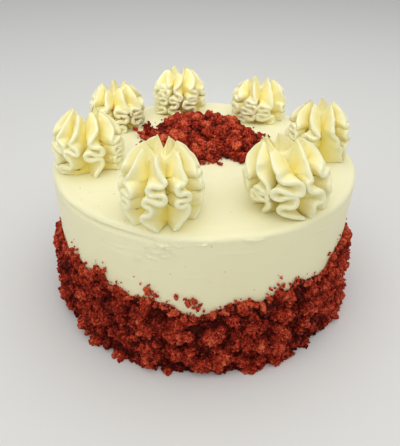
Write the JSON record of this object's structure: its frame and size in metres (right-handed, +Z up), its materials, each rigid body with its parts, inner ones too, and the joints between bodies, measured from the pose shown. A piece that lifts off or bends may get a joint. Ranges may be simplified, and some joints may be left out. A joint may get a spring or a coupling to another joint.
{
  "type": "red velvet cake",
  "caption": "Round iced cake with a ragged band of red crumbs round its foot, a ring of piped buttercream dollops and a heap of crumbs on top.",
  "frame": {"origin": "centre of the cake's flat underside, where it stands on its board or plate", "axes": "+Z up out of the iced top; -Y is the front, the side between the two largest dollops; +X is the right"},
  "size_m": [0.219, 0.219, 0.1413],
  "materials": {
    "cream_cheese_icing": "smooth spread icing, soft satin",
    "piped_buttercream": "smooth piped buttercream, soft satin",
    "red_velvet_crumb": "rough open sponge crumb, matt"
  },
  "bodies": {
    "root": {"frosted_cake": "cream_cheese_icing", "crumb_band": "red_velvet_crumb", "crumb_heap": "red_velvet_crumb", "dollop_front_left": "piped_buttercream", "dollop_front_right": "piped_buttercream", "dollop_right": "piped_buttercream", "dollop_back_right": "piped_buttercream", "dollop_back": "piped_buttercream", "dollop_back_left": "piped_buttercream", "dollop_left": "piped_buttercream"}
  },
  "joints": []
}
